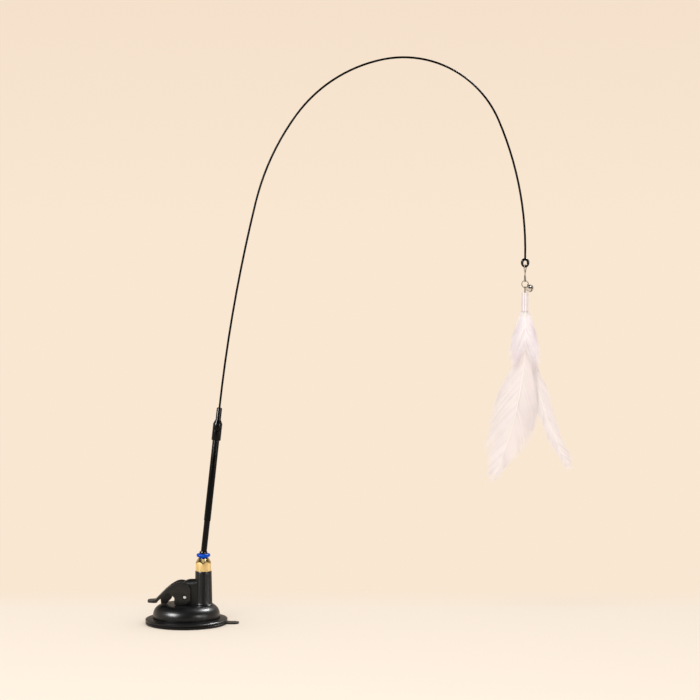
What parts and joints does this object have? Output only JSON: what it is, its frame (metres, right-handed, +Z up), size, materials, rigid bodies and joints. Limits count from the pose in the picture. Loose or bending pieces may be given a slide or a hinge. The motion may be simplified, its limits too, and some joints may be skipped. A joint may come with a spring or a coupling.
{
  "type": "cat teaser wand",
  "caption": "Cat teaser wand: lever suction base with a push-in fitting, black rod, arched spring wire, and a feather lure with a bell on a clip and ring",
  "frame": {"origin": "centre of the suction face, on the table", "axes": "+Z up, +X from the cup towards the side where the feathers hang, +Y to the back"},
  "size_m": [0.2848, 0.0548, 0.3771],
  "materials": {
    "cup_rubber": "moulded black rubber, satin",
    "housing_abs": "injection moulded black ABS, polished",
    "stem_steel": "plain steel",
    "pin_steel": "darkened steel",
    "lever_abs": "injection moulded black ABS, satin",
    "brass": "turned and lightly polished",
    "seal_rubber": "moulded",
    "collar_blue": "moulded, glossy",
    "liner_black": "moulded, glossy",
    "rod_black": "pultruded, glossy",
    "sleeve_black": "heat shrunk, satin",
    "ferrule_black": "moulded, satin",
    "spring_steel": "drawn spring wire",
    "wire_black": "extruded coating, satin",
    "eye_black": "moulded, satin",
    "clip_steel": "bright drawn wire",
    "bell_chrome": "bright plated",
    "clear_glue": "set clear glue",
    "clear_tube": "clear extruded tube",
    "feather_white": "bleached feather vane",
    "down_white": "bleached down"
  },
  "bodies": {
    "base": {"suction_cup": "cup_rubber", "housing": "housing_abs", "return_spring": "stem_steel", "fitting_body": "brass", "o_ring": "seal_rubber"},
    "stem": {"stem": "stem_steel", "stem_disc": "stem_steel", "lever_pin": "pin_steel"},
    "lever": {"lever": "lever_abs"},
    "collar": {"release_collar": "collar_blue", "collar_liner": "liner_black"},
    "grip": {"grip_ring": "stem_steel"},
    "wand": {"rod": "rod_black", "shrink_sleeve": "sleeve_black", "ferrule_socket": "ferrule_black", "ferrule_cap": "ferrule_black", "wire_core": "spring_steel", "wire_coating": "wire_black", "wire_eye": "eye_black"},
    "clip": {"clip": "clip_steel"},
    "ring": {"split_ring": "clip_steel"},
    "bell": {"bell_upper": "bell_chrome", "bell_lower": "bell_chrome", "bell_loop": "bell_chrome"},
    "ball": {"bell_ball": "stem_steel"},
    "lure": {"quill_loop": "clip_steel", "quill_plug": "clear_glue", "quill_tube": "clear_tube", "feather_long": "feather_white", "feather_side": "feather_white", "feather_back": "feather_white", "down_front": "down_white", "down_rear": "down_white"}
  },
  "joints": [
    {"name": "stem_lift", "type": "slide", "parent": "base", "child": "stem", "axis": [0, 0, 1], "range_m": [-0.0008, 0], "deforming": ["suction_cup", "return_spring"]},
    {"name": "lever_pivot", "type": "hinge", "parent": "stem", "child": "lever", "pos_m": [-0.0008, 0, 0.0182], "axis": [0, 1, 0], "range_deg": [0, 45]},
    {"name": "collar_press", "type": "slide", "parent": "base", "child": "collar", "axis": [0, 0, -1], "range_m": [0, 0.0006], "stiffness_N_per_m": 100},
    {"name": "rod_swivel", "type": "hinge", "parent": "base", "child": "grip", "pos_m": [0.01145, 0, 0.0385], "axis": [0, 0, 1], "continuous": true},
    {"name": "rod_pull", "type": "slide", "parent": "grip", "child": "wand", "axis": [0, 0, 1], "range_m": [0, 0.016]},
    {"name": "clip_swing", "type": "hinge", "parent": "wand", "child": "clip", "pos_m": [0.22555, 0, 0.23849], "axis": [1, 0, 0], "range_deg": [-40, 40]},
    {"name": "ring_swing", "type": "hinge", "parent": "clip", "child": "ring", "pos_m": [0.22555, 0, 0.22844], "axis": [0.4226, 0.9063, 0], "range_deg": [-50, 50]},
    {"name": "lure_swing", "type": "hinge", "parent": "ring", "child": "lure", "pos_m": [0.22555, 0, 0.22453], "axis": [0.9063, -0.4226, 0], "range_deg": [-24, 40]},
    {"name": "bell_swing", "type": "hinge", "parent": "ring", "child": "bell", "pos_m": [0.22753, -0.00092, 0.22612], "axis": [0.2801, -0.1306, 0.9511], "range_deg": [-30, 30]},
    {"name": "ball_rattle", "type": "slide", "parent": "bell", "child": "ball", "axis": [0, 0, 1], "range_m": [0, 0.0009]}
  ],
  "couplings": [
    {"joint": "lever_pivot", "follows": "stem_lift", "rad_per_m": -981.7}
  ]
}
